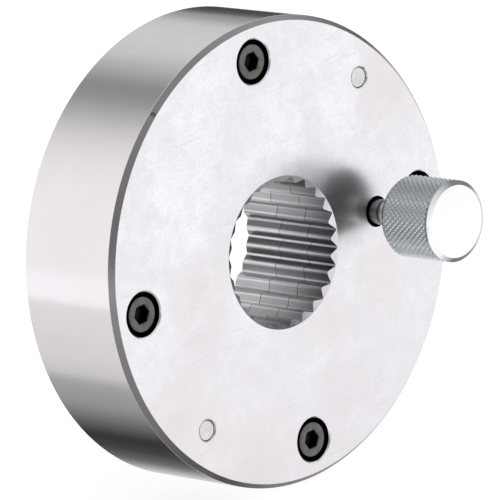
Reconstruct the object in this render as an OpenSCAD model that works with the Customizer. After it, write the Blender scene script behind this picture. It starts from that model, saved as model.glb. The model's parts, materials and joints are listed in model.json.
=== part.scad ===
// Spline clamping chuck: a body and a let-in rear plate with matching serrated bores, and between them
// a third serrated disc that a knurled knob twists by a degree or so to grip a splined shaft.
// Every piece is drawn along its own axis with the mounting face at height 0 and the front face on
// top, and stand_up() then lays that axis along -Y, so that the front looks along -Y and +Z is up.

/* [Body] */
// Outside diameter of the ground body
body_d = 110; // [100:1:150]
// Length from the mounting face to the front face
body_t = 29.5; // [24:0.5:40]
// Thickness of the front wall
front_t = 8.5; // [7:0.5:12]
// Depth of the pocket in which the clamping disc turns
pocket_t = 9.5; // [8:0.5:14]
// 45-degree chamfer on both rims
rim_chamfer = 1.2; // [0.4:0.1:2.5]
// Wall of the body left around the let-in rear plate
rim_wall = 4; // [2.5:0.25:5]
// Diameter of the punch mark on the front chamfer
punch_d = 1; // [0.5:0.1:1.5]

/* [Serrated bore] */
// Number of serrations
teeth = 26; // [18:1:32]
// Diameter over the roots of the serrations
root_d = 35.4; // [28:0.2:42]
// Depth of a serration
tooth_depth = 1.3; // [1:0.1:2]
// Width of the flat at each root
root_flat = 0.4; // [0.2:0.05:0.8]
// Width of the flat at each tip
tip_flat = 0.5; // [0.2:0.05:0.8]
// Width of the countersink outside the roots at each mouth of the bore
bore_sink = 0.2; // [0.1:0.05:0.8]

/* [Cap screws] */
// Thread diameter of the four cap screws
screw_d = 5; // [4:0.5:6]
// Diameter of a screw head
head_d = 8.5; // [7.5:0.25:10]
// Height of a screw head
head_h = 5; // [4:0.25:6]
// Hexagon socket across flats
hex_af = 4; // [3:0.5:5]
// Depth of the hexagon socket
hex_depth = 2.5; // [1.5:0.25:3]
// Depth of a screw head below the front face
head_sink = 0.5; // [0.2:0.1:1]
// Distance from the rim to the circle of screws and dowels
rim_to_screws = 9; // [8:0.25:11]
// Length of thread held by the rear plate
screw_grip = 7.5; // [4:0.5:8]

/* [Dowels] */
// Dowel diameter
dowel_d = 5; // [4:0.5:6]
// Depth of a dowel's end below the front face
dowel_sink = 0.3; // [0.2:0.1:1.5]
// Length of dowel held by the rear plate
dowel_grip = 6.5; // [3:0.5:7]
// Diameter of the knock-out hole behind a dowel
knockout_d = 3; // [2:0.5:3.5]

/* [Clamping disc] */
// Wall of the body between the pocket and the centres of the screws
pocket_to_screws = 6; // [4.5:0.25:7]
// Thickness of a thrust shim
shim_t = 0.1; // [0.1:0.05:0.4]
// Radial width of a thrust shim
shim_w = 3.75; // [2:0.25:4]
// Twist of the disc each way from line, in degrees
swing = 1; // [0.5:0.1:2]
// Distance from the axis to the stop pins
stop_r = 26; // [24:0.5:27]
// Diameter of a stop pin
stop_d = 4; // [3:0.5:5]

/* [Knob and stud] */
// Distance from the axis to the knob
knob_r = 31.5; // [29:0.5:31.5]
// Knob diameter
knob_d = 19.2; // [15:0.1:22]
// Knob length
knob_len = 15.6; // [12:0.1:18]
// Gap between the front face and the knob
knob_gap = 10.1; // [8:0.1:16]
// Chamfer on the knob's outer end
knob_chamfer = 1; // [0.4:0.1:1.5]
// Chamfer on the knob's inner end
knob_back_chamfer = 0.8; // [0.4:0.1:1.5]
// Stud diameter where it passes the front wall
stem_d = 6; // [5:0.1:6.2]
// Stud thread diameter
stud_thread_d = 6; // [5:0.5:6.5]
// Width of the slot in the front wall
slot_w = 7.2; // [7:0.1:8]
// Diameter of the neck behind the knob
neck_d = 4.8; // [3.5:0.1:5]
// Length of the neck
neck_len = 1.4; // [0.8:0.1:2]
// Diameter of the stud's end inside the knob
spigot_d = 5; // [4:0.5:6]
// Length of the stud's end inside the knob
spigot_len = 9; // [6:0.5:9.5]
// Pressure pad diameter
pad_d = 7.4; // [6:0.2:7.6]
// Pressure pad thickness
pad_t = 1.6; // [1:0.1:2]
// Lift of the knob when it is unscrewed
knob_lift = 0.75; // [0.4:0.05:1]

/* [Centring springs] */
// Plunger diameter
plunger_d = 4.2; // [3:0.1:4.4]
// Plunger length
plunger_len = 6; // [4:0.5:8]
// Outside diameter of a spring
spring_d = 3.6; // [2.6:0.1:3.8]
// Wire diameter of a spring
wire_d = 0.5; // [0.3:0.05:0.6]
// Turns in a spring
spring_turns = 7; // [5:1:9]
// Diameter of a spring plug
plug_d = 5; // [4.5:0.25:5.5]
// Length of a spring plug
plug_len = 5; // [3:0.5:6]

/* [Mounting] */
// Diameter of the circle of tapped mounting holes
mount_pcd = 70; // [66:1:76]
// Diameter of a mounting hole
mount_hole_d = 6; // [4:0.5:8]
// Diameter of a jacking hole in the rear plate
jack_hole_d = 5; // [4:0.5:6]

/* [Hidden] */
$fn = 96;
eps = 0.01;

// Clearances and small allowances
run_clear = 0.05;      // round piece that turns or slides in its hole
fit_clear = 0.01;      // pressed or ground fit
thread_clear = 0.05;   // between a thread and its tapped hole
bolt_clear = 0.25;     // screw shank in its drilled hole
sink_clear = 1;        // screw head in its counterbore
end_clear = 0.05;      // flat faces that slide over each other
stop_clear = 0.1;      // stop pin to the end of its slot at full swing
stem_clear = 0.15;     // stem to the end of the front slot at full swing
edge_break = 0.3;      // edge break on small holes and pins
drill_past = 1;        // how far a blind hole goes past what it holds
plate_skin = 2;        // metal left behind a blind mounting hole
shim_inset = 0.5;      // shim's edge inside the disc's edge
plug_inset = 0.5;      // plug's outer end below the disc's edge
sink_angle = 27;       // slope of the bore's countersinks from the face

// Layers, from the mounting face
plate_t = body_t - front_t - pocket_t;
wall_z = plate_t + pocket_t;
disc_z = plate_t + shim_t + end_clear;
disc_t = pocket_t - 2 * (shim_t + end_clear);
mid_z = plate_t + pocket_t / 2;

// Radii
body_r = body_d / 2;
root_r = root_d / 2;
tip_r = root_r - tooth_depth;
sink_r = root_r + bore_sink;
screw_r = body_r - rim_to_screws;
pocket_r = screw_r - pocket_to_screws;
disc_r = pocket_r - run_clear;
plate_r = body_r - rim_wall;
shim_or = disc_r - shim_inset;
shim_ir = shim_or - shim_w;

// Screws, dowels and mounting holes
screw_angles = [0, 90, 180, 270];
dowel_angles = [45, 225];
jack_angles = [135, 315];
mount_angles = [45, 135, 225, 315];
head_top = body_t - head_sink;
seat_z = head_top - head_h;
screw_end = plate_t - screw_grip;
dowel_top = body_t - dowel_sink;
dowel_end = plate_t - dowel_grip;
stop_angles = [90, 270];
stop_end = plate_t / 4;
punch_angle = 127;

// Stud, knob and pad, from the mounting face
pad_z = plate_t + end_clear;
tip_z = pad_z + pad_t + end_clear;
pip_d = 3;
pip_len = pad_t - 2 * end_clear;
pad_room = knob_lift + pad_t + 3 * end_clear;
knob_z = body_t + knob_gap;
spigot_drill = 0.6;

// Plunger, spring and plug along a spring bore, from the centre of its stop pin
swing_len = stop_r * sin(swing);
plunger_x = stop_d / 2 + end_clear;
nose_len = 1.6;
nose_d = spring_d - 2 * wire_d - 2 * run_clear;
spring_x = plunger_x + plunger_len + end_clear;
bore_mouth = sqrt(pow(disc_r, 2) - pow(stop_r + plug_d / 2, 2));
plug_x = bore_mouth - plug_inset - plug_len;
spring_len = plug_x - end_clear - spring_x;
plug_hex_af = 2.5;
plug_hex_depth = 2;

function polar(r, a) = [r * cos(a), r * sin(a)];
function arc_deg(len, r) = len / r * 180 / PI;

// Lays the axis along -Y with the front towards -Y
module stand_up() rotate([90, 0, 0]) children();

module at_polar(r, a) rotate([0, 0, a]) translate([r, 0, 0]) children();

// Cylinder from z0 to z1
module rod(d, z0, z1) translate([0, 0, z0]) cylinder(d = d, h = z1 - z0);

// Cylinder with 45-degree chamfers of c0 at z0 and c1 at z1
module chamfered_rod(d, z0, z1, c0, c1) rotate_extrude()
    polygon([
        [0, z0], [d / 2 - c0, z0], [d / 2, z0 + c0],
        [d / 2, z1 - c1], [d / 2 - c1, z1], [0, z1],
    ]);

// Cut that breaks the edge of a hole of diameter d whose mouth is at z, facing up
module mouth_break(d, z) translate([0, 0, z - edge_break])
    cylinder(d1 = d, d2 = d + 4 * edge_break, h = 2 * edge_break);

// Outline of a serrated hole, with a root centred on angle 0
module serration_outline() {
    pitch = 360 / teeth;
    root_half = arc_deg(root_flat / 2, root_r);
    tip_half = pitch / 2 - arc_deg(tip_flat / 2, tip_r);
    polygon([
        for (i = [0 : teeth - 1], p = [
            [tip_r, -tip_half], [root_r, -root_half], [root_r, root_half], [tip_r, tip_half]
        ]) polar(p[0], i * pitch + p[1])
    ]);
}

module serrated_cut(z0, z1) translate([0, 0, z0 - eps])
    linear_extrude(z1 - z0 + 2 * eps) serration_outline();

// Countersink that trims the ends of the serrations where they meet a face at z, facing up
module bore_countersink(z) {
    inner_r = tip_r - edge_break;
    outer_r = sink_r + edge_break;
    translate([0, 0, z - (sink_r - inner_r) * tan(sink_angle)])
        cylinder(r1 = inner_r, r2 = outer_r, h = (outer_r - inner_r) * tan(sink_angle));
}

// Straight slot through z0 to z1, length measured over its round ends, along Y
module slot_cut(w, len, z0, z1) {
    for (s = [-1, 1]) translate([0, s * (len - w) / 2, 0]) rod(w, z0, z1);
    translate([-w / 2, -(len - w) / 2, z0]) cube([w, len - w, z1 - z0]);
}

module housing() color("gainsboro") stand_up() difference() {
    chamfered_rod(body_d, 0, body_t, rim_chamfer, rim_chamfer);
    rod(2 * (plate_r + fit_clear), -eps, plate_t);
    mirror([0, 0, 1]) mouth_break(2 * plate_r, 0);
    rod(2 * pocket_r, plate_t - eps, wall_z);
    serrated_cut(wall_z, body_t);
    bore_countersink(body_t);
    for (a = screw_angles) at_polar(screw_r, a) {
        rod(screw_d + 2 * bolt_clear, plate_t - eps, seat_z + eps);
        rod(head_d + 2 * sink_clear, seat_z, body_t + eps);
        mouth_break(head_d + 2 * sink_clear, body_t);
    }
    for (a = dowel_angles) at_polar(screw_r, a) {
        rod(dowel_d + 2 * fit_clear, plate_t - eps, body_t + eps);
        mouth_break(dowel_d, body_t);
    }
    at_polar(knob_r, 0)
        slot_cut(slot_w, stem_d + 2 * (knob_r * sin(swing) + stem_clear), wall_z - eps, body_t + eps);
    at_polar(body_r - rim_chamfer / 2, punch_angle)
        translate([0, 0, body_t - rim_chamfer / 2]) sphere(d = punch_d);
}

module rear_plate() color("silver") stand_up() difference() {
    chamfered_rod(2 * plate_r, 0, plate_t, edge_break, edge_break);
    serrated_cut(0, plate_t);
    mirror([0, 0, 1]) bore_countersink(0);
    for (a = screw_angles) at_polar(screw_r, a) rod(screw_d, screw_end - drill_past, plate_t + eps);
    for (a = dowel_angles) at_polar(screw_r, a) {
        rod(dowel_d + 2 * fit_clear, dowel_end, plate_t + eps);
        rod(knockout_d, -eps, dowel_end + eps);
    }
    for (a = jack_angles) at_polar(screw_r, a) rod(jack_hole_d, -eps, plate_t + eps);
    for (a = mount_angles) at_polar(mount_pcd / 2, a) rod(mount_hole_d, -eps, plate_t - plate_skin);
    for (a = stop_angles) at_polar(stop_r, a) rod(stop_d + 2 * fit_clear, stop_end, plate_t + eps);
}

// Bore along +X for a plunger, its spring and its plug, at the height of the disc's middle
module spring_bore(side) translate([0, side * stop_r, mid_z]) rotate([0, 90, 0]) {
    rod(plunger_d + 2 * run_clear, 0, plug_x + eps);
    rod(plug_d, plug_x, disc_r);
}

module clamping_disc() color("darkgray") stand_up() difference() {
    rod(2 * disc_r, disc_z, disc_z + disc_t);
    serrated_cut(disc_z, disc_z + disc_t);
    for (a = stop_angles) at_polar(stop_r, a)
        slot_cut(stop_d + 2 * stop_clear, stop_d + 2 * (swing_len + stop_clear), disc_z - eps,
            disc_z + disc_t + eps);
    for (side = [-1, 1]) spring_bore(side);
    at_polar(knob_r, 0) {
        rod(stud_thread_d, disc_z - eps, disc_z + disc_t + eps);
        rod(pad_d + 2 * edge_break, disc_z - eps, pad_z + pad_room);
    }
}

module shim(z) color("goldenrod") stand_up() difference() {
    rod(2 * shim_or, z, z + shim_t);
    rod(2 * shim_ir, z - eps, z + shim_t + eps);
}

module cap_screw(i) color("#2b2b2e") stand_up() at_polar(screw_r, screw_angles[i]) difference() {
    union() {
        chamfered_rod(head_d, seat_z, head_top, 0, edge_break);
        chamfered_rod(screw_d - 2 * thread_clear, screw_end, seat_z + eps, edge_break, 0);
    }
    translate([0, 0, head_top - hex_depth])
        cylinder(d = hex_af / cos(30), h = hex_depth + eps, $fn = 6);
    translate([0, 0, head_top - hex_depth - hex_af / 6 + eps])
        cylinder(d1 = 0.4, d2 = hex_af - 0.2, h = hex_af / 6);
}

module dowel_pin(i) color("lightgray") stand_up() at_polar(screw_r, dowel_angles[i])
    chamfered_rod(dowel_d, dowel_end, dowel_top, edge_break, edge_break);

module stop_pin(i) color("lightgray") stand_up() at_polar(stop_r, stop_angles[i])
    chamfered_rod(stop_d, stop_end, disc_z + disc_t, edge_break, edge_break);

module clamp_stud() color("#4a4d4c") stand_up() at_polar(knob_r, 0) {
    rod(pip_d, tip_z - pip_len, tip_z);
    chamfered_rod(stud_thread_d - 2 * thread_clear, tip_z, disc_z + disc_t, edge_break, 0);
    rod(stem_d, disc_z + disc_t, knob_z - neck_len);
    rod(neck_d, knob_z - neck_len, knob_z);
    chamfered_rod(spigot_d, knob_z, knob_z + spigot_len, 0, edge_break);
}

module knob() color("whitesmoke") stand_up() at_polar(knob_r, 0) difference() {
    chamfered_rod(knob_d, knob_z, knob_z + knob_len, knob_back_chamfer, knob_chamfer);
    rod(spigot_d + 2 * fit_clear, knob_z - eps, knob_z + spigot_len + spigot_drill);
}

module pressure_pad() color("#b5924c") stand_up() at_polar(knob_r, 0) difference() {
    rod(pad_d, pad_z, pad_z + pad_t);
    rod(pip_d + 2 * run_clear, pad_z - eps, pad_z + pad_t + eps);
}

// Places a piece on the axis of a spring bore, pointing out along +X from its stop pin
module in_spring_bore(side) stand_up() translate([0, side * stop_r, mid_z]) rotate([0, 90, 0]) children();

module spring_plunger(side) color("lightgray") in_spring_bore(side) {
    chamfered_rod(plunger_d, plunger_x, plunger_x + plunger_len, edge_break, 0);
    rod(nose_d, plunger_x + plunger_len, plunger_x + plunger_len + nose_len);
}

module spring_plug(side) color("#2b2b2e") in_spring_bore(side) difference() {
    rod(plug_d - 2 * thread_clear, plug_x, plug_x + plug_len);
    translate([0, 0, plug_x + plug_len - plug_hex_depth])
        cylinder(d = plug_hex_af / cos(30), h = plug_hex_depth + eps, $fn = 6);
}

// Round wire wound into a helix along the bore
wire_sides = 8;
turn_steps = 14;
spring_rings = spring_turns * turn_steps;
function wire_point(i, k) =
    let (
        turn = 360 * i / turn_steps,
        around = 360 * k / wire_sides,
        r = (spring_d - wire_d) / 2 + wire_d / 2 * cos(around),
        z = wire_d / 2 + (spring_len - wire_d) * i / spring_rings
    )
    [r * cos(turn), r * sin(turn), z + wire_d / 2 * sin(around)];

module centring_spring(side) color("lightsteelblue") in_spring_bore(side)
    translate([0, 0, spring_x]) polyhedron(
        points = [for (i = [0 : spring_rings], k = [0 : wire_sides - 1]) wire_point(i, k)],
        faces = concat(
            [[for (k = [0 : wire_sides - 1]) k]],
            [[for (k = [wire_sides - 1 : -1 : 0]) spring_rings * wire_sides + k]],
            [for (i = [0 : spring_rings - 1], k = [0 : wire_sides - 1])
                let (a = i * wire_sides + k, b = i * wire_sides + (k + 1) % wire_sides)
                [a, a + wire_sides, b + wire_sides, b]]
        ));

housing();
rear_plate();
clamping_disc();
shim(wall_z - shim_t);  // front_shim
shim(plate_t);  // rear_shim
cap_screw(0);  // cap_screw_1
cap_screw(1);  // cap_screw_2
cap_screw(2);  // cap_screw_3
cap_screw(3);  // cap_screw_4
dowel_pin(0);  // dowel_pin_1
dowel_pin(1);  // dowel_pin_2
stop_pin(0);  // stop_pin_1
stop_pin(1);  // stop_pin_2
clamp_stud();
knob();
pressure_pad();
spring_plunger(1);  // spring_plunger_1
spring_plunger(-1);  // spring_plunger_2
centring_spring(1);  // centring_spring_1
centring_spring(-1);  // centring_spring_2
spring_plug(1);  // spring_plug_1
spring_plug(-1);  // spring_plug_2
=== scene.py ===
"""Looks of the spline clamping chuck: knurled knob, turned stud, socket cap screws and ground steel."""

import json
import math

import bmesh
import bpy
from mathutils import Matrix, Vector


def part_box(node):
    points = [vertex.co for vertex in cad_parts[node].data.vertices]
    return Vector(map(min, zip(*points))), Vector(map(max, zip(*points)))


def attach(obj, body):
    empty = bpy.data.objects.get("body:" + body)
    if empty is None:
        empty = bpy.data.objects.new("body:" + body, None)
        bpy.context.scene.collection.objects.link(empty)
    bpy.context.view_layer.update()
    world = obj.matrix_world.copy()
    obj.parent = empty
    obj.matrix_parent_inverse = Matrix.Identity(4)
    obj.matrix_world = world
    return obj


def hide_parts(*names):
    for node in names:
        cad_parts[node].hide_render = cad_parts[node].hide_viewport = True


MM = 0.001

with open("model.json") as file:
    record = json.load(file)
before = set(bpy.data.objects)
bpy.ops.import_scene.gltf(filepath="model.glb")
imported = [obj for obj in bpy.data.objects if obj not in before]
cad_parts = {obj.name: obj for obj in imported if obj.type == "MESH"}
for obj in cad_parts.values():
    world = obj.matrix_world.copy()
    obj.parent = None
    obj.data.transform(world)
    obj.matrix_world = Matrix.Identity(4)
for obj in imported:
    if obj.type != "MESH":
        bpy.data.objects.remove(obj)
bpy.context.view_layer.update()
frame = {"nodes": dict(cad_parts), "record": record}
nodes = frame["nodes"]


# ---------------------------------------------------------------- places

def size_of(node):
    """Middle and size of a CAD node, in metres."""
    low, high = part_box(node)
    return (low + high) / 2, high - low


body_low, body_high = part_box("housing")
front_y = body_low.y
body_radius = (body_high.x - body_low.x) / 2
knob_end_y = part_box("knob")[0].y
knob_back_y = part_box("knob")[1].y
knob_x = size_of("knob")[0].x
screw_top_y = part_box("cap_screw_1")[0].y

# Radius of the bore's countersinks at the faces, and their slope from the faces
BORE_EDGE = 17.9 * MM
COUNTERSINK_SLOPE = math.radians(27)
RIM_CHAMFER = 1.2 * MM

# The serrations lie just beyond the first of these radii, and span a little less than the second length
TIPS_FROM = 16.3 * MM
TIPS_TO_ROOTS = 1.5 * MM

# The face's holes lie between these radii, and are dark from this depth
HOLES_FROM = 19 * MM
HOLES_TO = 53 * MM
HOLE_DEPTH = 0.4 * MM

# Margin that keeps a mask clear of the edge it follows
EDGE_MARGIN = 0.05 * MM

# A piece is drawn along +Z from the mounting face and laid along -Y, as the chuck stands
LAY_DOWN = Matrix.Rotation(math.radians(90), 4, "X")


# ---------------------------------------------------------------- mesh tools

def piece(name, bm, material, body, stands_for=(), smooth_deg=30):
    """Makes a finished object from a bmesh drawn in the row frame, and sets it riding."""
    bmesh.ops.remove_doubles(bm, verts=bm.verts, dist=1e-7)
    bmesh.ops.recalc_face_normals(bm, faces=bm.faces)
    for edge in bm.edges:
        edge.smooth = len(edge.link_faces) == 2 and edge.calc_face_angle(0) < math.radians(smooth_deg)
    for face in bm.faces:
        face.smooth = True
    mesh = bpy.data.meshes.new(name)
    bm.to_mesh(mesh)
    bm.free()
    obj = bpy.data.objects.new(name, mesh)
    bpy.context.scene.collection.objects.link(obj)
    mesh.materials.append(material)
    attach(obj, body)
    if stands_for:
        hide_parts(*stands_for)
    return obj


def chain(bm, points):
    """A line of edges through (radius, height) points, in the plane y = 0. Returns verts and edges."""
    verts = [bm.verts.new((r, 0, z)) for r, z in points]
    edges = [bm.edges.new(pair) for pair in zip(verts, verts[1:])]
    return verts, edges


def turned(bm, points, steps):
    """Turns a line of (radius, height) points about Z into a closed skin."""
    verts, edges = chain(bm, points)
    bmesh.ops.spin(bm, geom=verts + edges, axis=(0, 0, 1), cent=(0, 0, 0), angle=2 * math.pi,
                   steps=steps, use_merge=True)
    bmesh.ops.remove_doubles(bm, verts=bm.verts, dist=1e-7)


def rounded(points, radius, steps=4):
    """Rounds the inner corners of an open line of (radius, height) points."""
    out = [points[0]]
    for before, corner, after in zip(points, points[1:], points[2:]):
        corner = Vector(corner)
        to_before = Vector(before) - corner
        to_after = Vector(after) - corner
        cut = min(radius, to_before.length / 2.2, to_after.length / 2.2)
        start = corner + to_before.normalized() * cut
        end = corner + to_after.normalized() * cut
        for i in range(steps + 1):
            t = i / steps
            out.append(tuple(start * (1 - t) ** 2 + corner * 2 * t * (1 - t) + end * t ** 2))
    out.append(points[-1])
    return out


# ---------------------------------------------------------------- materials

class Nodes:
    """Short calls for a material's node tree."""

    def __init__(self, name):
        self.material = bpy.data.materials.new(name)
        self.material.use_nodes = True
        self.tree = self.material.node_tree
        self.shader = self.tree.nodes["Principled BSDF"]
        self.coords = self.add("ShaderNodeTexCoord")

    def add(self, kind, **settings):
        node = self.tree.nodes.new(kind)
        for key, value in settings.items():
            setattr(node, key, value)
        return node

    def link(self, a, b):
        self.tree.links.new(a, b)

    def value(self, socket, a):
        """Sets a socket to a number or links it to an output."""
        if isinstance(a, (int, float, tuple, list)):
            socket.default_value = a
        else:
            self.link(a, socket)

    def math(self, operation, a, b=0.0, c=0.0, clamp=False):
        node = self.add("ShaderNodeMath", operation=operation, use_clamp=clamp)
        for socket, v in zip(node.inputs, (a, b, c)):
            self.value(socket, v)
        return node.outputs[0]

    def place(self):
        """Object coordinates, split into x, y and z."""
        split = self.add("ShaderNodeSeparateXYZ")
        self.link(self.coords.outputs["Object"], split.inputs[0])
        return split.outputs

    def length(self, a, b):
        """Length of a vector with two parts."""
        return self.math("SQRT", self.math("ADD", self.math("MULTIPLY", a, a), self.math("MULTIPLY", b, b)))

    def between(self, value, low, high):
        """One where a value lies between two limits, and nought elsewhere."""
        above = self.math("GREATER_THAN", value, low)
        return self.math("MULTIPLY", above, self.math("LESS_THAN", value, high))

    def scaled(self, scale):
        """Object coordinates stretched by a scale per axis."""
        node = self.add("ShaderNodeMapping")
        self.link(self.coords.outputs["Object"], node.inputs["Vector"])
        node.inputs["Scale"].default_value = scale
        return node.outputs["Vector"]

    def noise(self, vector, scale, detail=3.0, rough=0.5, distortion=0.0):
        node = self.add("ShaderNodeTexNoise")
        self.link(vector, node.inputs["Vector"])
        node.inputs["Scale"].default_value = scale
        node.inputs["Detail"].default_value = detail
        node.inputs["Roughness"].default_value = rough
        node.inputs["Distortion"].default_value = distortion
        return node.outputs["Fac"]

    def ramp(self, fac, stops):
        """Grey ramp from (position, value) stops."""
        node = self.add("ShaderNodeValToRGB")
        self.value(node.inputs["Fac"], fac)
        ramp = node.color_ramp
        while len(ramp.elements) < len(stops):
            ramp.elements.new(0.5)
        for element, (position, level) in zip(ramp.elements, stops):
            element.position = position
            element.color = (*level, 1) if isinstance(level, tuple) else (level, level, level, 1)
        return node.outputs["Color"]

    def mix(self, fac, a, b, blend="MIX"):
        node = self.add("ShaderNodeMix", data_type="RGBA", blend_type=blend)
        self.value(node.inputs["Factor"], fac)
        self.value(node.inputs[6], a if not isinstance(a, tuple) else (*a, 1))
        self.value(node.inputs[7], b if not isinstance(b, tuple) else (*b, 1))
        return node.outputs[2]

    def bump(self, height, strength, distance, normal=None):
        node = self.add("ShaderNodeBump")
        node.inputs["Strength"].default_value = strength
        node.inputs["Distance"].default_value = distance
        self.link(height, node.inputs["Height"])
        if normal is not None:
            self.link(normal, node.inputs["Normal"])
        return node.outputs["Normal"]

    def finish(self, color, roughness, normal=None, metallic=1.0, **constants):
        self.value(self.shader.inputs["Base Color"], (*color, 1) if isinstance(color, tuple) else color)
        self.value(self.shader.inputs["Roughness"], roughness)
        self.shader.inputs["Metallic"].default_value = metallic
        for key, v in constants.items():
            self.shader.inputs[key.replace("_", " ").title().replace("Ior", "IOR")].default_value = v
        if normal is not None:
            self.link(normal, self.shader.inputs["Normal"])
        return self.material


FACE_BRIGHT = (0.915, 0.90, 0.95)
FACE_DULL = (0.80, 0.775, 0.82)
FACE_PATCH = (0.74, 0.715, 0.74)
# Painted shade of the face, used for its lower part and its dull patches
FACE_SHADE = (0.70, 0.66, 0.68)
FACE_SCRATCH = (0.60, 0.58, 0.60)
# Painted shade on the face, in faint dull patches: place (x, z) and reach in mm, and strength
FACE_SHADE_PATCHES = [
    (-27, 0, 14, 0.55), (-42, -28, 18, 0.6), (-22, -45, 16, 0.45), (30, -15, 13, 0.55), (43, 26, 18, 0.7),
    (12, -21, 10, 0.45),
]
SIDE_BRIGHT = (0.90, 0.86, 0.90)
SIDE_DULL = (0.76, 0.73, 0.76)
CHAMFER = (0.46, 0.45, 0.45)
# Painted light and shade on the rim chamfers round the turn, from -X through below (-Z)
RIM_LIGHT_AND_SHADE = [
    (0.0, 0.95), (0.04, 0.83), (0.08, 0.70), (0.115, 0.34), (0.16, 0.06), (0.20, 0.16), (0.24, 0.22),
    (0.28, 0.16), (0.32, 0.32), (0.36, 0.60), (0.40, 0.55), (0.44, 0.32), (0.49, 0.75), (0.53, 0.40),
    (0.57, 0.45), (0.61, 0.42), (0.65, 1.0), (0.70, 0.82), (0.78, 0.60), (0.80, 0.51), (0.87, 0.51),
    (0.91, 1.0), (0.95, 1.0), (0.97, 0.86), (1.0, 0.95),
]
RIM_DULL = (0.25, 0.24, 0.24)
BORE_LAND_HIGHLIGHT = (0.80, 0.79, 0.82)
BORE_FLANK = (0.50, 0.495, 0.52)
BORE_FLANK_SHADE = (0.17, 0.17, 0.185)
# Painted shade on the dull side of the countersinks
SINK_SHADE = (0.26, 0.26, 0.275)
HOLLOW = (0.05, 0.05, 0.055)
# Direction of the painted light on the countersinks, as its parts along x and z
SINK_LIT_SIDE = (0.906, -0.423)
# Height about which the right-hand flanks are painted dark as shade, and how far that reaches
FLANK_SHADE_Z = -4 * MM
FLANK_SHADE_REACH = 10 * MM


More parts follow.
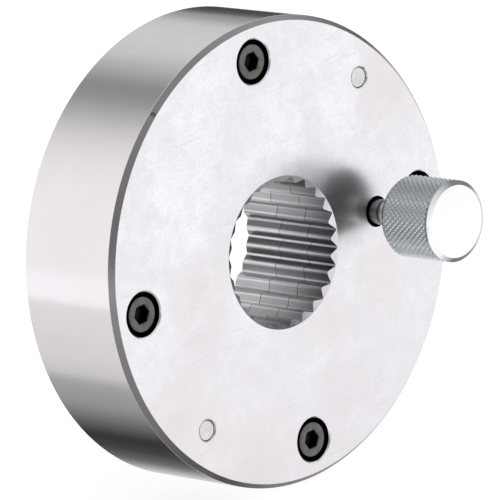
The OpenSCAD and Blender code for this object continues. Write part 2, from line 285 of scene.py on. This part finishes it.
def ground_steel():
    """Ground steel. The flat faces carry faint clouds and fine stray scratches, with painted shade in
    patches and towards the bottom, the outside fine rings, the rim chamfers a duller turned skin with
    painted light and shade round the turn, the countersinks painted light and shade, and the serrated bore
    the darker skin of the wire cut with painted highlights and shade."""
    n = Nodes("ground_steel")
    plain = n.scaled((1, 1, 1))
    x, along, z = n.place()
    radius = n.length(x, z)
    on_side = n.math("GREATER_THAN", radius, body_radius - EDGE_MARGIN)
    on_rim = n.math("GREATER_THAN", radius, body_radius - RIM_CHAMFER + EDGE_MARGIN)
    on_chamfer = n.math("SUBTRACT", on_rim, on_side)

    # The countersinks slope in from the faces; only what lies behind them is bore
    depth = n.math("MINIMUM", n.math("SUBTRACT", along, front_y), n.math("MULTIPLY", along, -1.0))
    sink = n.math("MULTIPLY_ADD", depth, -1 / math.tan(COUNTERSINK_SLOPE), BORE_EDGE + 0.04 * MM)
    in_bore = n.between(radius, sink, BORE_EDGE - 0.1 * MM)
    bore_light_and_shade = bore_tone_and_painted_light(n, radius, x, along, z)

    # The countersinks are painted with light and shade: bright on the lower outer side and dull on the
    # other
    on_sink = n.math("SUBTRACT", n.math("LESS_THAN", radius, BORE_EDGE), in_bore)
    toward = n.math("MULTIPLY_ADD", x, SINK_LIT_SIDE[0], n.math("MULTIPLY", z, SINK_LIT_SIDE[1]))
    toward_lit_side = n.math("DIVIDE", toward, radius)

    # Screw, dowel and stud holes are dark inside
    in_hole = n.between(radius, HOLES_FROM, HOLES_TO)
    in_hole = n.math("MULTIPLY", in_hole, n.math("GREATER_THAN", depth, HOLE_DEPTH))

    broad = n.noise(plain, 16, detail=2, rough=0.5)
    clouds = n.noise(plain, 60, detail=6, rough=0.6, distortion=0.8)
    patches = n.noise(plain, 260, detail=4, rough=0.6)
    fine = n.noise(plain, 1500, detail=4, rough=0.7)
    rings = n.noise(n.scaled((20, 4200, 20)), 1.0, detail=3, rough=0.6)
    grime = n.noise(n.scaled((90, 30, 90)), 1.0, detail=4, rough=0.65)
    scratches = None
    for turn, seed in ((0.5, 0.0), (1.9, 3.7), (2.7, 8.1)):
        lay = n.add("ShaderNodeMapping")
        n.link(n.coords.outputs["Object"], lay.inputs["Vector"])
        lay.inputs["Rotation"].default_value = (0, turn, 0)
        lay.inputs["Location"].default_value = (seed, 0, seed)
        lay.inputs["Scale"].default_value = (60, 60, 1100)
        line = n.math("GREATER_THAN", n.noise(lay.outputs["Vector"], 1.0, detail=2), 0.70)
        scratches = line if scratches is None else n.math("MAXIMUM", scratches, line)

    # Painted shade: the face darker towards the bottom
    low_shade = n.math("MULTIPLY_ADD", z, -9.0, n.math("MULTIPLY_ADD", broad, 0.6, -0.15), clamp=True)
    face = n.mix(n.ramp(clouds, [(0.32, 0.0), (0.68, 1.0)]), FACE_DULL, FACE_BRIGHT)
    face = n.mix(n.math("MULTIPLY", low_shade, 0.75), face, FACE_SHADE)
    uneven = n.math("MULTIPLY_ADD", clouds, 1.2, -0.6)
    # Painted shade: dull patches laid on the face at the listed places
    for shade_x, shade_z, reach, strength in FACE_SHADE_PATCHES:
        off_x = n.math("SUBTRACT", x, shade_x * MM)
        off_z = n.math("SUBTRACT", z, shade_z * MM)
        away = n.math("ADD", n.math("DIVIDE", n.length(off_x, off_z), reach * MM), uneven)
        face = n.mix(n.ramp(away, [(0.1, strength), (1.0, 0.0)]), face, FACE_SHADE)
    face = n.mix(n.math("MULTIPLY", n.ramp(patches, [(0.45, 0.0), (0.75, 1.0)]), 0.6), face, FACE_PATCH)
    face = n.mix(n.math("MULTIPLY", n.ramp(fine, [(0.46, 0.0), (0.70, 1.0)]), 0.6), face, FACE_PATCH)
    face = n.mix(n.math("MULTIPLY", scratches, 0.16), face, FACE_SCRATCH)

    side = n.mix(n.math("MULTIPLY", n.math("ADD", rings, clouds), 0.3), SIDE_BRIGHT, SIDE_DULL)
    side = n.mix(n.math("MULTIPLY", n.ramp(grime, [(0.45, 0.0), (0.75, 1.0)]), 0.35), side, SIDE_DULL)
    # The rim chamfers carry painted light and shade round the turn
    turn = n.math("DIVIDE", n.math("ARCTAN2", z, x), 2 * math.pi)
    shaded_rim = n.mix(1.0, CHAMFER, n.ramp(n.math("ADD", turn, 0.5), RIM_LIGHT_AND_SHADE), "MULTIPLY")
    rim = n.mix(n.math("MULTIPLY", grime, 0.5), shaded_rim, RIM_DULL)
    sink_light_and_shade = n.mix(n.ramp(toward_lit_side, [(0.35, 0.0), (0.85, 1.0)]), SINK_SHADE, face)
    flat = n.mix(on_sink, n.mix(in_hole, face, HOLLOW), sink_light_and_shade)
    color = n.mix(on_side, n.mix(on_chamfer, n.mix(in_bore, flat, bore_light_and_shade), rim), side)

    face_rough = n.math("MULTIPLY_ADD", clouds, 0.10, 0.21)
    side_rough = n.math("MULTIPLY_ADD", rings, 0.10, 0.09)
    rough = n.math("MULTIPLY_ADD", on_side, n.math("SUBTRACT", side_rough, face_rough), face_rough)
    rough = n.math("MULTIPLY_ADD", in_bore, 0.02, rough)
    grain = n.math("MULTIPLY_ADD", on_side, n.math("SUBTRACT", rings, fine), fine)
    waves = n.bump(patches, 0.25, 0.00006)
    return n.finish(color, rough, n.bump(grain, 0.10, 0.00003, waves))


def bore_tone_and_painted_light(n, radius, x, along, z):
    """Colour of the serrations: painted highlights on the tip and root lands, duller on the flanks, with
    painted shade on the right-hand flanks a little below mid height, and painted shade towards the front."""
    speck = n.noise(n.scaled((1, 0.3, 1)), 900, detail=4, rough=0.6)
    out = n.math("DIVIDE", n.math("SUBTRACT", radius, TIPS_FROM), TIPS_TO_ROOTS)
    # Painted shade on the right-hand flanks a little below mid height
    off_middle = n.math("DIVIDE", n.math("ABSOLUTE", n.math("SUBTRACT", z, FLANK_SHADE_Z)), FLANK_SHADE_REACH)
    near_middle = n.ramp(off_middle, [(0.50, 1.0), (0.78, 0.0)])
    dark = n.math("MULTIPLY", near_middle, n.math("GREATER_THAN", x, 0.0))
    flank = n.mix(dark, BORE_FLANK, BORE_FLANK_SHADE)
    # Painted highlight: the tip and root lands light
    on_land = n.ramp(out, [(0.16, 1.0), (0.28, 0.0), (0.80, 0.0), (0.90, 1.0)])
    tone = n.mix(on_land, flank, BORE_LAND_HIGHLIGHT)
    tone = n.mix(n.math("MULTIPLY", speck, 0.4), tone, (0.30, 0.30, 0.31))
    # Painted shade: the bore darker towards the front
    forward = n.math("DIVIDE", along, front_y, clamp=True)
    shade = n.ramp(forward, [(0.30, 0.0), (0.69, 0.15), (0.73, 0.35), (0.95, 0.62)])
    return n.mix(shade, tone, (0.06, 0.06, 0.07))


def disc_steel_with_painted_bore():
    """Ground disc, with the same wire-cut skin in its bore as the body, and the same painted highlights and
    shade there.
    """
    n = Nodes("hardened_steel")
    x, along, z = n.place()
    radius = n.length(x, z)
    grainy = n.noise(n.scaled((1, 1, 1)), 700, detail=4, rough=0.6)
    ground = n.mix(grainy, (0.52, 0.52, 0.54), (0.62, 0.62, 0.64))
    in_bore = n.math("LESS_THAN", radius, BORE_EDGE - 0.1 * MM)
    color = n.mix(in_bore, ground, bore_tone_and_painted_light(n, radius, x, along, z))
    rough = n.math("MULTIPLY_ADD", grainy, 0.12, 0.32)
    return n.finish(color, rough, n.bump(grainy, 0.10, 0.00003))


def stud_steel():
    """Dark turned stud, brighter towards the knob."""
    n = Nodes("stud_steel")
    along = n.place()[1]
    marks = n.noise(n.scaled((60, 3500, 60)), 1.0, detail=3)
    near_knob = n.math("DIVIDE", n.math("SUBTRACT", front_y, along), 10 * MM, clamp=True)
    tone = n.ramp(near_knob, [(0.0, 0.10), (0.26, 0.24), (0.32, 0.45), (0.5, 0.85)])
    tone = n.mix(n.math("MULTIPLY", marks, 0.3), tone, (0.16, 0.17, 0.17))
    return n.finish(tone, n.math("MULTIPLY_ADD", marks, 0.12, 0.22), n.bump(marks, 0.2, 0.00003))


def plain_steel(name, color, roughness, grain=700, relief=0.1):
    n = Nodes(name)
    grainy = n.noise(n.scaled((1, 1, 1)), grain, detail=4, rough=0.6)
    dark = tuple(c * 0.85 for c in color)
    tint = n.mix(n.ramp(grainy, [(0.35, 0.0), (0.65, 1.0)]), dark, color)
    rough = n.math("MULTIPLY_ADD", grainy, 0.2, roughness - 0.1)
    return n.finish(tint, rough, n.bump(grainy, relief, 0.00003))


# Painted light and shade on the ring round the knob's end, by the part of a turn from its inner side (-X)
# through below (-Z)
RING_LIGHT_AND_SHADE = [
    (0.0, 0.95), (0.12, 0.85), (0.20, 0.16), (0.30, 0.20), (0.42, 0.55), (0.58, 0.55), (0.64, 0.18),
    (0.74, 0.22), (0.82, 0.70), (0.92, 0.95),
]


def knob_steel():
    """Knurled sides a little dull, the turned outer end bright, the inner end painted dark as shade. The
    ring round the outer end carries painted light and shade: light on its inner side, and dull below and at
    the upper outer side."""
    n = Nodes("knob_steel")
    x, along, z = n.place()
    on_end = n.math("LESS_THAN", along, knob_end_y + 0.02 * MM)
    on_ring = n.math("LESS_THAN", along, knob_end_y + 0.65 * MM)
    on_back = n.math("GREATER_THAN", along, knob_back_y - 0.7 * MM)
    angle = n.math("DIVIDE", n.math("ARCTAN2", z, n.math("SUBTRACT", x, knob_x)), 2 * math.pi)
    # Painted light and shade round the ring
    ring = n.ramp(n.math("ADD", angle, 0.5), RING_LIGHT_AND_SHADE)
    grainy = n.noise(n.scaled((1, 1, 1)), 900, detail=4, rough=0.6)
    side = n.mix(grainy, (0.50, 0.53, 0.545), (0.66, 0.69, 0.70))
    end = n.mix(grainy, (0.90, 0.90, 0.92), (0.95, 0.95, 0.965))
    rough = n.math("MULTIPLY_ADD", grainy, 0.10, 0.20)
    # Painted shade: the inner end, facing the body, is dark
    skin = n.mix(on_back, side, (0.07, 0.07, 0.075))
    color = n.mix(on_end, n.mix(on_ring, skin, ring), end)
    return n.finish(color, rough, n.bump(grainy, 0.05, 0.00002))


def black_steel():
    """Black oxide steel, greyer on top of the screw heads."""
    n = Nodes("black_steel")
    below = n.math("DIVIDE", n.math("SUBTRACT", n.place()[1], screw_top_y), MM)
    grainy = n.noise(n.scaled((1, 1, 1)), 700, detail=4, rough=0.6)
    top = n.mix(n.ramp(grainy, [(0.35, 0.0), (0.65, 1.0)]), (0.112, 0.108, 0.104), (0.16, 0.162, 0.148))
    tint = n.mix(n.ramp(below, [(0.10, 1.0), (0.25, 0.0)]), (0.022, 0.022, 0.024), top)
    return n.finish(tint, n.math("MULTIPLY_ADD", grainy, 0.2, 0.28), n.bump(grainy, 0.1, 0.00003))


MATERIALS = {
    "ground_steel": ground_steel(),
    "hardened_steel": disc_steel_with_painted_bore(),
    "shim_brass": plain_steel("shim_brass", (0.74, 0.58, 0.30), 0.3),
    "black_steel": black_steel(),
    "pin_steel": plain_steel("pin_steel", (0.72, 0.715, 0.71), 0.25),
    "stud_steel": stud_steel(),
    "knob_steel": knob_steel(),
}

slot_of = {s["node"]: s["material_slot"] for s in frame["record"]["subparts"]}
for name, obj in nodes.items():
    obj.data.materials.clear()
    obj.data.materials.append(MATERIALS[slot_of[name]])


# ---------------------------------------------------------------- knob

KNURL_ROWS = 9
KNURL_AROUND = 46
KNURL_DEPTH = 0.30 * MM
KNURL_LAND = 0.36 * MM


def build_knob():
    """Diamond-knurled knob: turned ends, and a band of flat-topped diamonds between them."""
    middle, size = size_of("knob")
    radius = size.x / 2
    length = size.y
    back = -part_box("knob")[1].y
    chamfer_out = 1.0 * MM
    chamfer_slope = 0.6 * MM
    land = 0.45 * MM
    land_r = radius - 0.05 * MM
    hub_r = 3 * MM
    chamfer_in = 0.8 * MM
    root = radius - KNURL_DEPTH
    z0 = back + chamfer_in
    z1 = back + length - chamfer_slope - land
    bm = bmesh.new()
    # Grid of the band: each second point of the checkerboard is a diamond's corner
    rows = 2 * KNURL_ROWS
    columns = 2 * KNURL_AROUND
    points = [(root, z0 + (z1 - z0) * i / rows) for i in range(rows + 1)]
    turned(bm, points, columns)
    step = 2 * math.pi / columns

    def is_corner(vert):
        i = round((vert.co.z - z0) / (z1 - z0) * rows)
        j = round(math.atan2(vert.co.y, vert.co.x) / step)
        return (i + j) % 2 == 0

    corner = {v: is_corner(v) for v in bm.verts}
    grid_edges = list(bm.edges)
    for face in list(bm.faces):
        bmesh.ops.connect_verts(bm, verts=[v for v in face.verts if corner[v]])

    def on_border(edge):
        return all(abs(v.co.z - z0) < 1e-7 or abs(v.co.z - z1) < 1e-7 for v in edge.verts)

    inner = [e for e in grid_edges if e.is_valid and not on_border(e)]
    bmesh.ops.dissolve_edges(bm, edges=inner, use_verts=True, use_face_split=False)
    diamonds = list(bm.faces)
    bmesh.ops.inset_individual(bm, faces=diamonds, thickness=KNURL_LAND, depth=0.0, use_even_offset=True)
    tops = {v for f in diamonds if f.is_valid for v in f.verts}
    for v in tops:
        flat = Vector((v.co.x, v.co.y, 0))
        v.co += flat.normalized() * (radius - flat.length)
    # Ends: from the groove bottoms in to the plain turned ends
    end_out = back + length
    turned(bm, [(root, z1), (land_r, z1 + 0.1 * MM), (land_r, end_out - chamfer_slope),
                (radius - chamfer_out, end_out - 0.05 * MM), (radius - chamfer_out - 0.15 * MM, end_out),
                (0, end_out)], columns)
    turned(bm, [(root, z0), (radius - chamfer_in, back), (hub_r, back)], columns)
    bmesh.ops.transform(bm, matrix=LAY_DOWN @ Matrix.Translation((middle.x, 0, 0)), verts=bm.verts)
    return piece("knurled_knob", bm, MATERIALS["knob_steel"], "knob", ("knob",))


build_knob()


def build_stud():
    """Stud that carries the knob: pip and thread in the disc, a plain stem with a relief groove, a neck."""
    middle, size = size_of("clamp_stud")
    stem_r = size.x / 2
    low = -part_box("clamp_stud")[1].y
    high = -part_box("clamp_stud")[0].y
    disc_face = -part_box("clamping_disc")[0].y
    knob_back = -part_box("knob")[1].y
    thread_r = stem_r - 0.05 * MM
    thread_root = stem_r - 0.6 * MM
    pitch = 1.0 * MM
    pip_r = 1.5 * MM
    pip_end = low + 1.5 * MM
    points = [(0, low), (pip_r, low), (pip_r, pip_end), (thread_root, pip_end)]
    z = pip_end + 0.4 * MM
    while z + pitch < disc_face:
        points += [(thread_root, z), (thread_r, z + 0.42 * MM), (thread_r, z + 0.55 * MM),
                   (thread_root, z + 0.95 * MM)]
        z += pitch
    points += [(thread_root, disc_face - 0.1 * MM), (stem_r, disc_face)]
    groove = -front_y + 2.6 * MM
    groove_r = stem_r - 0.45 * MM
    neck_r = stem_r - 0.6 * MM
    spigot_r = 2.5 * MM
    points += [(stem_r, groove), (groove_r, groove + 0.15 * MM), (groove_r, groove + 0.75 * MM),
               (stem_r, groove + 0.9 * MM), (stem_r, knob_back - 1.5 * MM), (neck_r, knob_back - 1.25 * MM),
               (neck_r, knob_back), (spigot_r, knob_back), (spigot_r, high - 0.3 * MM),
               (2.2 * MM, high), (0, high)]
    bm = bmesh.new()
    turned(bm, points, 48)
    bmesh.ops.transform(bm, matrix=LAY_DOWN @ Matrix.Translation((middle.x, 0, 0)), verts=bm.verts)
    return piece("turned_stud", bm, MATERIALS["stud_steel"], "knob", ("clamp_stud",))


build_stud()


# ---------------------------------------------------------------- cap screws

def build_cap_screw(number):
    """Socket cap screw: rounded head edge, hexagon socket with a lead-in and a drilled bottom."""
    node = f"cap_screw_{number}"
    middle, size = size_of(node)
    head_r = size.x / 2
    top = -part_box(node)[0].y
    head_h = 5 * MM
    shank_r = 2.45 * MM
    end = -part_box(node)[1].y
    hex_r = 2 * MM
    hex_depth = 2.5 * MM
    steps = 48
    bm = bmesh.new()
    seat = top - head_h
    lead_r = 2.5 * MM
    turned(bm, rounded([(lead_r, top), (head_r - 0.25 * MM, top), (head_r, top - 0.5 * MM),
                        (head_r, seat), (shank_r, seat), (shank_r, end + 0.4 * MM),
                        (shank_r - 0.4 * MM, end), (0, end)], 0.25 * MM), steps)

    def ring(z, radius_at):
        loop = bmesh.ops.create_circle(bm, cap_ends=False, radius=1, segments=steps)["verts"]
        for v in loop:
            a = math.atan2(v.co.y, v.co.x)
            r = radius_at(a)
            v.co = (r * math.cos(a), r * math.sin(a), z)
        return [e for e in bm.edges if e.verts[0] in loop and e.verts[1] in loop]

    def hexagon(a):
        third = math.pi / 3
        return hex_r / math.cos((a + 1e-9) % third - third / 2)

    rim = ring(top, lambda a: lead_r)
    mouth = ring(top - 0.25 * MM, hexagon)
    floor = ring(top - hex_depth, hexagon)
    cone = ring(top - hex_depth, lambda a: 1.7 * MM)
    tip = ring(top - hex_depth - 0.7 * MM, lambda a: 0.2 * MM)
    for upper, lower in zip((rim, mouth, floor, cone), (mouth, floor, cone, tip)):
        bmesh.ops.bridge_loops(bm, edges=upper + lower)
    bmesh.ops.contextual_create(bm, geom=tip)
    bmesh.ops.transform(bm, matrix=LAY_DOWN @ Matrix.Translation((middle.x, middle.z, 0)), verts=bm.verts)
    return piece(f"socket_screw_{number}", bm, MATERIALS["black_steel"], "body", (node,))


for number in range(1, 5):
    build_cap_screw(number)


# ---------------------------------------------------------------- stage

def staged(name, bm, material):
    mesh = bpy.data.meshes.new(name)
    bm.to_mesh(mesh)
    bm.free()
    mesh.materials.append(material)
    obj = bpy.data.objects.new(name, mesh)
    bpy.context.scene.collection.objects.link(obj)
    return obj


def build_floor():
    """Pale floor that glows a little, so that its shadows stay faint."""
    bm = bmesh.new()
    bmesh.ops.create_grid(bm, x_segments=1, y_segments=1, size=8)
    bmesh.ops.translate(bm, vec=(0, 0, body_low.z - 0.1 * MM), verts=bm.verts)
    n = Nodes("pale_floor")
    mottle = n.noise(n.scaled((1, 1, 1)), 3)
    color = n.mix(mottle, (0.34, 0.34, 0.34), (0.36, 0.36, 0.36))
    n.shader.inputs["Emission Color"].default_value = (1, 1, 1, 1)
    n.shader.inputs["Emission Strength"].default_value = 0.80
    staged("floor", bm, n.finish(color, 0.9, metallic=0.0, specular_ior_level=0.0))


def only_in_steel(card):
    card.visible_camera = False
    card.visible_diffuse = False
    card.visible_shadow = False
    card.visible_transmission = False


def glowing(n, level):
    """Gives a stage material no surface of its own, only a glow."""
    if isinstance(level, (int, float)):
        n.shader.inputs["Emission Color"].default_value = (1, 1, 1, 1)
        n.shader.inputs["Emission Strength"].default_value = level
    else:
        n.link(level, n.shader.inputs["Emission Color"])
        n.shader.inputs["Emission Strength"].default_value = 1.0
    return n.finish((0, 0, 0), 1.0, metallic=0.0, specular_ior_level=0.0)


def build_card(name, low, high, axis, stops):
    """A flat card on the floor that only shows in the steel, lighter and darker along one axis."""
    bm = bmesh.new()
    bmesh.ops.create_grid(bm, x_segments=1, y_segments=1, size=0.5)
    bmesh.ops.scale(bm, vec=(high[0] - low[0], high[1] - low[1], 1), verts=bm.verts)
    bmesh.ops.translate(bm, vec=((low[0] + high[0]) / 2, (low[1] + high[1]) / 2, body_low.z + 0.2 * MM),
                        verts=bm.verts)
    n = Nodes(name)
    span = high[axis] - low[axis]
    part = n.math("DIVIDE", n.math("SUBTRACT", n.place()[axis], low[axis]), span)
    level = n.ramp(part, [((at * MM - low[axis]) / span, value) for at, value in stops])
    only_in_steel(staged(name, bm, glowing(n, level)))


def build_soft_spot(name, centre, radius, levels):
    """A round upright card that only shows in the steel, dark in the middle and fading into the floor."""
    bm = bmesh.new()
    bmesh.ops.create_circle(bm, cap_ends=True, radius=radius, segments=48)
    bmesh.ops.transform(bm, matrix=Matrix.Translation(centre) @ LAY_DOWN, verts=bm.verts)
    n = Nodes(name)
    away = n.add("ShaderNodeVectorMath", operation="DISTANCE")
    n.link(n.coords.outputs["Object"], away.inputs[0])
    away.inputs[1].default_value = centre
    level = n.ramp(n.math("DIVIDE", away.outputs["Value"], radius), levels)
    only_in_steel(staged(name, bm, glowing(n, level)))


def build_knob_card():
    """A pale card close behind the lower part of the knob, that only shows in the steel beside the stem."""
    gap = 0.3 * MM
    top_edge = -5.6 * MM
    reach = size_of("knob")[1].x / 2 - gap
    bm = bmesh.new()
    bmesh.ops.create_circle(bm, cap_ends=True, radius=reach, segments=48)
    bmesh.ops.bisect_plane(bm, geom=bm.verts[:] + bm.edges[:] + bm.faces[:], plane_co=(0, top_edge, 0),
                           plane_no=(0, 1, 0), clear_outer=True)
    bmesh.ops.transform(bm, matrix=LAY_DOWN @ Matrix.Translation((knob_x, 0, -knob_back_y - gap)),
                        verts=bm.verts)
    only_in_steel(staged("knob_card", bm, glowing(Nodes("knob_card"), 0.95)))


def build_light(name, spot, aim, size, power):
    data = bpy.data.lights.new(name, "AREA")
    data.shape = "RECTANGLE"
    data.size, data.size_y = size
    data.energy = power
    light = bpy.data.objects.new(name, data)
    light.location = spot
    light.rotation_euler = (Vector(aim) - Vector(spot)).to_track_quat("-Z", "Y").to_euler()
    light.visible_glossy = False
    bpy.context.scene.collection.objects.link(light)


# Brightness of the room behind the chuck, from its left (-X) to its right, and of the side it faces
ROOM_BEHIND = [
    (-0.72, 0.98), (-0.57, 0.98), (-0.39, 0.88), (-0.26, 0.74), (-0.14, 0.52), (0.0, 0.32), (0.10, 0.28),
    (0.24, 0.50), (0.36, 0.66), (0.50, 0.70), (0.62, 0.66), (0.70, 0.25), (0.74, 0.20),
]
ROOM_FRONT = [(-1.0, 0.30), (-0.6, 0.30), (-0.42, 0.45), (-0.28, 0.88), (0.5, 0.88), (1.0, 1.0)]


def build_world():
    world = bpy.data.worlds.new("studio")
    world.use_nodes = True
    tree = world.node_tree

    def add(kind, **settings):
        node = tree.nodes.new(kind)
        for key, value in settings.items():
            setattr(node, key, value)
        return node

    coords = add("ShaderNodeTexCoord")
    across = add("ShaderNodeSeparateXYZ")
    tree.links.new(coords.outputs["Generated"], across.inputs[0])
    place = add("ShaderNodeMath", operation="MULTIPLY_ADD")
    tree.links.new(across.outputs[0], place.inputs[0])
    place.inputs[1].default_value = 0.5
    place.inputs[2].default_value = 0.5
    ramps = []
    for stops in (ROOM_FRONT, ROOM_BEHIND):
        node = add("ShaderNodeValToRGB")
        tree.links.new(place.outputs[0], node.inputs[0])
        while len(node.color_ramp.elements) < len(stops):
            node.color_ramp.elements.new(0.5)
        for element, (at, level) in zip(node.color_ramp.elements, stops):
            element.position = at * 0.5 + 0.5
            element.color = (level, level, level, 1)
        ramps.append(node)
    behind = add("ShaderNodeMapRange")
    behind.inputs["From Min"].default_value = -0.15
    behind.inputs["From Max"].default_value = 0.15
    tree.links.new(across.outputs[1], behind.inputs["Value"])
    mix = add("ShaderNodeMix", data_type="RGBA")
    tree.links.new(behind.outputs[0], mix.inputs["Factor"])
    tree.links.new(ramps[0].outputs[0], mix.inputs[6])
    tree.links.new(ramps[1].outputs[0], mix.inputs[7])
    tree.links.new(mix.outputs[2], tree.nodes["Background"].inputs["Color"])
    bpy.context.scene.world = world


# The lens looks along this heading and down-tilt, rolled a little, from this far off
VIEW_HEADING = 42.92
VIEW_DOWN = 16.37
VIEW_ROLL = 9.15
VIEW_DISTANCE = 1.496
VIEW_AIM = Vector((-5.25, -23.91, 1.76)) * MM
LENS = 466.75


def build_camera():
    heading = math.radians(VIEW_HEADING)
    down = math.radians(VIEW_DOWN)
    level = math.cos(down)
    forward = Vector((math.sin(heading) * level, math.cos(heading) * level, -math.sin(down)))
    right = forward.cross(Vector((0, 0, 1))).normalized()
    up = right.cross(forward)
    roll = Matrix.Rotation(math.radians(VIEW_ROLL), 3, forward)
    right = roll @ right
    up = roll @ up
    data = bpy.data.cameras.new("camera")
    data.lens = LENS
    data.clip_end = 30
    camera = bpy.data.objects.new("camera", data)
    camera.matrix_world = Matrix.Translation(VIEW_AIM - forward * VIEW_DISTANCE) @ Matrix(
        (right, up, -forward)).transposed().to_4x4()
    bpy.context.scene.collection.objects.link(camera)
    bpy.context.scene.camera = camera


build_floor()
# Painted shadow: the card behind the body is dark under its left side, standing for the body's shadow on
# the floor as seen in the steel
build_card("floor_shadow_card", (-260 * MM, -28 * MM), (-4 * MM, 260 * MM), 0,
           [(-182, 0.82), (-102, 0.76), (-84, 0.68), (-76, 0.42), (-60, 0.33), (-50, 0.15), (-42, 0.03),
            (-35, 0.06), (-28, 0.16), (-20, 0.60), (-12, 0.86)])
build_card("side_card", (-420 * MM, -420 * MM), (-26 * MM, -31 * MM), 0, [(-400, 0.60), (-30, 0.50)])
build_soft_spot("far_spot", (420 * MM, 400 * MM, 20 * MM), 130 * MM, [(0.0, 0.05), (0.7, 0.10), (1.0, 0.5)])
build_knob_card()
build_world()
build_light("key", (-0.5, -0.9, 1.3), (0, 0, 0), (1.2, 1.2), 6)
build_camera()
bpy.context.scene.view_settings.view_transform = "Standard"
